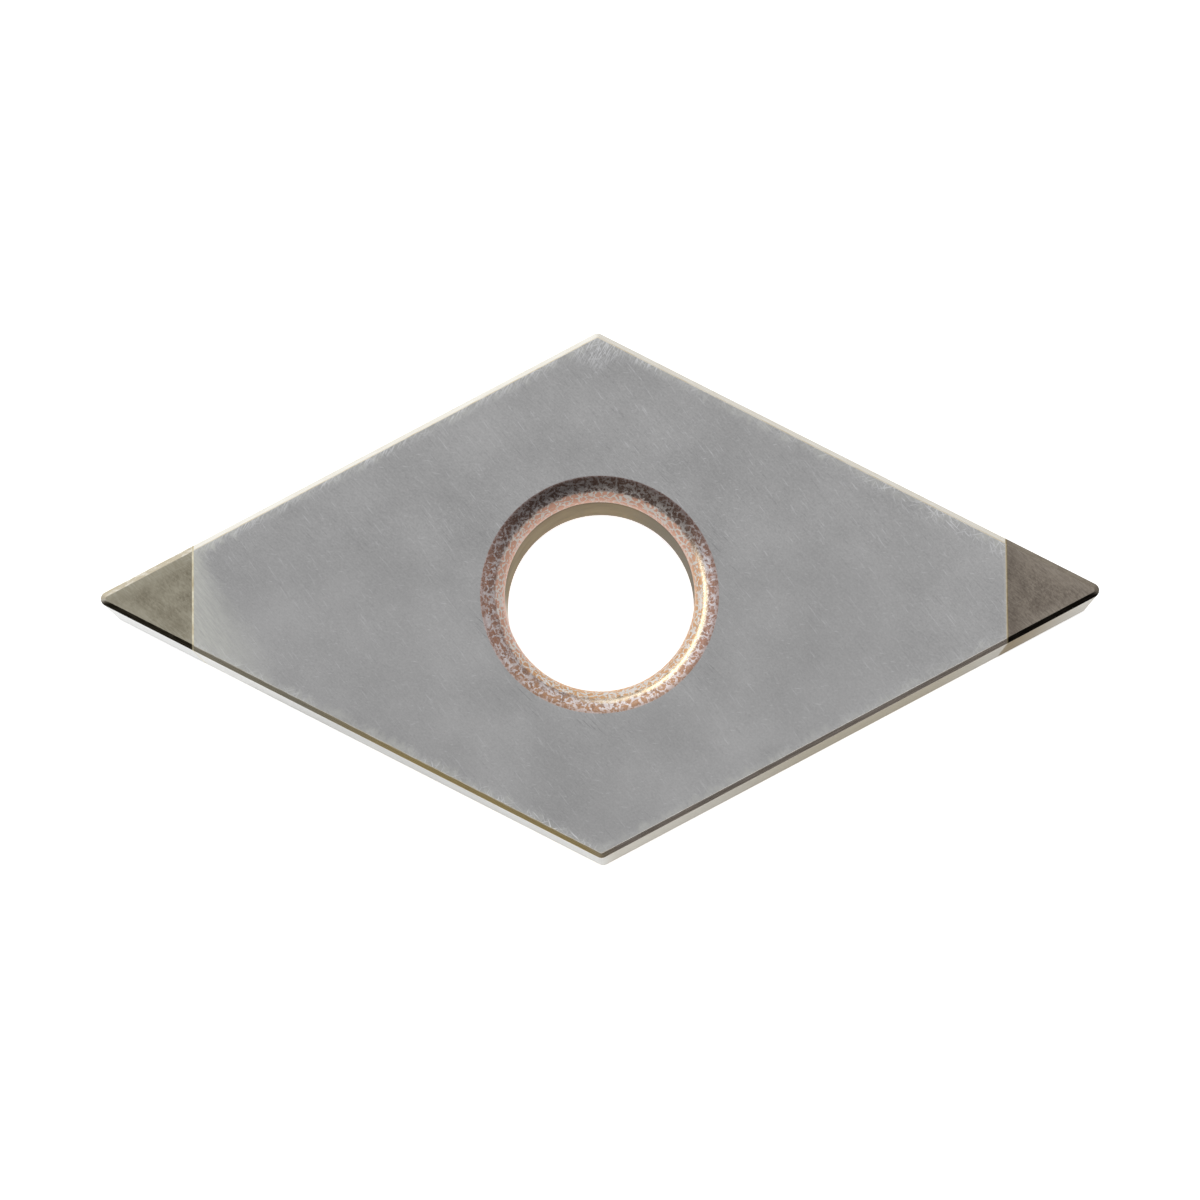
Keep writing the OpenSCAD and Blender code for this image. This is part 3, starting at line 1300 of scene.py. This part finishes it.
@dataclass
class Studio:
    """Floor, sky, lamp and camera."""

    floor_size: float = 1.6
    floor_gap: float = 0.00001
    paper: Colour = (0.86, 0.86, 0.86, 1.0)
    seen_glow: float = 0.82
    mirrored_glow: float = 0.46
    hole_glow: float = 1.0
    overhead: Colour = (0.86, 0.86, 0.86, 1.0)
    overhead_right: Colour = (0.52, 0.50, 0.48, 1.0)
    near_left: Colour = (0.32, 0.31, 0.28, 1.0)
    near_middle: Colour = (0.11, 0.105, 0.10, 1.0)
    near_right: Colour = (0.26, 0.25, 0.24, 1.0)
    far_left: Colour = (1.22, 1.22, 1.2, 1.0)
    far_middle: Colour = (0.92, 0.90, 0.87, 1.0)
    far_right: Colour = (0.62, 0.60, 0.57, 1.0)
    strip: Colour = (3.6, 3.3, 2.75, 1.0)
    strip_heading: Space = (-0.92, 0.39, 0.0)
    underfoot: Colour = (0.8, 0.8, 0.8, 1.0)
    lamp_place: Space = (0.02, 0.06, 0.5)
    lamp_size: float = 0.2
    lamp_power: float = 0.08
    lamp_tint: Space = (1.0, 0.995, 0.98)
    camera_distance: float = 0.160
    camera_turn: Space = (-5.092, -0.4871, 0.4999)
    camera_shift: Plan = (0.0320 * MM, -0.2707 * MM)
    lens: float = 172.09

    def sheet_material(self) -> bpy.types.Material:
        """Makes the floor's paper: white to the camera, and dimmer in mirrors except under the hole.

        Returns:
            The material, clear from below.
        """
        material = bpy.data.materials.new("white_sheet")
        material.use_nodes = True
        bench = NodeBench(material.node_tree)
        rays = bench.add("ShaderNodeLightPath", {}).outputs
        seen = Reading(bench, rays["Is Camera Ray"]).most(Reading(bench, rays["Is Transmission Ray"]))
        place = bench.millimetres()
        x = place.split()[0]
        left_end = x.ease(-10.8, -8.4, 0.68, self.mirrored_glow)
        beside = left_end + x.ease(-5.0, -1.0) * x.ease(4.5, 1.0, 0.0, 0.12)
        glow = place.radius().ease(2.5, 2.7) * (beside - self.hole_glow) + self.hole_glow
        mirrored = Reading(bench, rays["Is Glossy Ray"]) * glow
        light = bench.read("ShaderNodeEmission", 0, {"Strength": (seen * self.seen_glow).most(mirrored)})
        paper = bench.read("ShaderNodeBsdfDiffuse", 0, {"Color": self.paper})
        lit = bench.read("ShaderNodeAddShader", 0, {0: paper, 1: light})
        clear = bench.read("ShaderNodeBsdfTransparent", 0, {})
        below = bench.read("ShaderNodeNewGeometry", "Backfacing", {})
        surface = bench.read("ShaderNodeMixShader", 0, {0: below, 1: lit, 2: clear})
        bench.add("ShaderNodeOutputMaterial", {"Surface": surface})
        return material

    def floor(self) -> None:
        """Lays the pale sheet that the insert lies on."""
        bm = bmesh.new()
        bmesh.ops.create_grid(bm, x_segments=8, y_segments=8, size=self.floor_size / 2)
        bmesh.ops.translate(bm, vec=(0, 0, -self.floor_gap), verts=bm.verts)
        mesh = bpy.data.meshes.new("floor_sheet")
        bm.to_mesh(mesh)
        bm.free()
        mesh.materials.append(self.sheet_material())
        sheet = bpy.data.objects.new("floor_sheet", mesh)
        bpy.context.collection.objects.link(sheet)

    def sky(self) -> None:
        """Makes the soft studio light: pale overhead, brighter at the back, darker on the camera's side."""
        world = bpy.data.worlds.new("soft_studio")
        world.use_nodes = True
        bench = NodeBench(world.node_tree)
        heading = bench.read("ShaderNodeTexCoord", "Generated", {})
        x, y, z = heading.split()
        level = x.ease(0.3, 0.75).mix(self.overhead, self.overhead_right)
        near = x.ease(-0.35, 0.35).mix(self.near_left, self.near_middle)
        level = y.ease(-0.12, -0.42).mix(level, x.ease(0.38, 0.6).mix(near, self.near_right))
        far = x.ease(-0.3, 0.3).mix(self.far_left, self.far_middle)
        level = y.ease(0.2, 0.62).mix(level, x.ease(0.36, 0.62).mix(far, self.far_right))
        band = z.ease(0.0, 0.06) * z.ease(0.2, 0.1) * heading.along(self.strip_heading).ease(0.6, 0.86)
        level = z.ease(0.0, -0.02).mix(band.mix(level, self.strip), self.underfoot)
        light = bench.read("ShaderNodeBackground", 0, {"Color": level})
        bench.add("ShaderNodeOutputWorld", {"Surface": light})
        bpy.context.scene.world = world

    def lamp(self) -> None:
        """Hangs a soft lamp that looks at the insert."""
        data = bpy.data.lights.new("key_softbox", "AREA")
        data.shape = "SQUARE"
        data.size = self.lamp_size
        data.energy = self.lamp_power
        data.color = self.lamp_tint
        lamp = bpy.data.objects.new("key_softbox", data)
        bpy.context.collection.objects.link(lamp)
        lamp.location = self.lamp_place
        lamp.rotation_mode = "QUATERNION"
        lamp.rotation_quaternion = (-Vector(self.lamp_place)).to_track_quat("-Z", "Y")

    def camera(self) -> None:
        """Stands the camera where the photograph was taken."""
        rx, ry, rz = (math.radians(a) for a in self.camera_turn)
        turn = Matrix.Rotation(rz, 3, "Z") @ Matrix.Rotation(ry, 3, "Y") @ Matrix.Rotation(rx, 3, "X")
        back = turn.transposed()
        tx, ty = self.camera_shift
        place = back @ Vector((-tx, -ty, self.camera_distance))
        data = bpy.data.cameras.new("camera")
        data.lens = self.lens
        data.sensor_width = 36.0
        data.clip_start = 0.005
        data.clip_end = 5.0
        camera = bpy.data.objects.new("camera", data)
        bpy.context.collection.objects.link(camera)
        camera.matrix_world = Matrix.Translation(place) @ back.to_4x4()
        bpy.context.scene.camera = camera

    def build(self) -> None:
        """Sets the whole studio up."""
        self.floor()
        self.sky()
        self.lamp()
        self.camera()
        bpy.context.scene.view_settings.view_transform = "Standard"


@dataclass
class TurningInsert:
    """The whole insert: body, two tips and two seams, each standing for its own CAD node."""

    body: CarbideBody = field(default_factory=CarbideBody)
    tips: tuple[NitrideTip, NitrideTip] = (NitrideTip(Side.LEFT), NitrideTip(Side.RIGHT))
    seams: tuple[BrazeSeam, BrazeSeam] = (BrazeSeam(Side.LEFT), BrazeSeam(Side.RIGHT))

    def seat(self, piece: bpy.types.Object, node: str) -> None:
        """Hands a piece to the frame in place of its CAD node.

        Args:
            piece: The piece.
            node: The CAD node that it stands for.
        """
        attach(piece, "root")
        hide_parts(node)
        LOG.info("%s: %d faces for node %s", piece.name, len(piece.data.polygons), node)

    def tip_finishes(self, side: Side) -> list[bpy.types.Material]:
        """Finishes of a tip: the left one olive with a cold flank, the right one browner, with a stronger
        painted warm reflection on its flank.

        Args:
            side: Which tip.

        Returns:
            The materials in the order of the regions.
        """
        if side is Side.LEFT:
            face = NitrideFace("left_nitride_face", grit=0.8, cloud_grit=0.55, softness=0.72, edge_share=0.5)
            land = NitrideLand("left_nitride_land")
            flank = GroundFlank("left_nitride_flank", base=srgb(214, 215, 215), dim=srgb(192, 193, 193))
        else:
            face = NitrideFace("right_nitride_face", dark=srgb(94, 86, 79), light=srgb(154, 145, 134),
                               rub=srgb(158, 151, 143), seam_share=0.35)
            land = NitrideLand("right_nitride_land", front=srgb(34, 30, 26), back=srgb(130, 122, 112),
                               glint_patch=srgb(150, 143, 132))
            # The right flank's painted warm reflection covers the whole tip and fades towards the nose.
            flank = GroundFlank("right_nitride_flank", base=srgb(214, 211, 204), dim=srgb(196, 192, 184),
                                warm_reflection=srgb(160, 150, 130), tint=(0.60, 0.51, 0.39, 1.0), first_share=1.0,
                                warm_share=1.0, pale_from=11.0, pale_to=13.4, last_share=0.15)
        return [finish.made() for finish in (face, land, flank)]

    def build(self) -> None:
        """Builds and dresses every piece."""
        carbide = [GroundFace("ground_carbide").made(), EdgeLand("carbide_land").made(),
                   GroundFlank("carbide_flank").made(), TarnishedMouth("tarnished_mouth").made(),
                   BoreWall("bore_wall").made()]
        self.seat(self.body.build(carbide), "carbide_body")
        for tip in self.tips:
            finishes = self.tip_finishes(tip.side)
            self.seat(tip.build(finishes), f"{tip.side.name.lower()}_cbn_tip")
        braze = [BrazeFilm("braze").made()]
        for seam in self.seams:
            self.seat(seam.build(braze), f"{seam.side.name.lower()}_braze_seam")


def main() -> None:
    """Builds the insert and its studio in order."""
    logging.basicConfig(level=logging.INFO, format="%(name)s: %(message)s")
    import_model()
    TurningInsert().build()
    Studio().build()


if __name__ == "__main__":
    main()
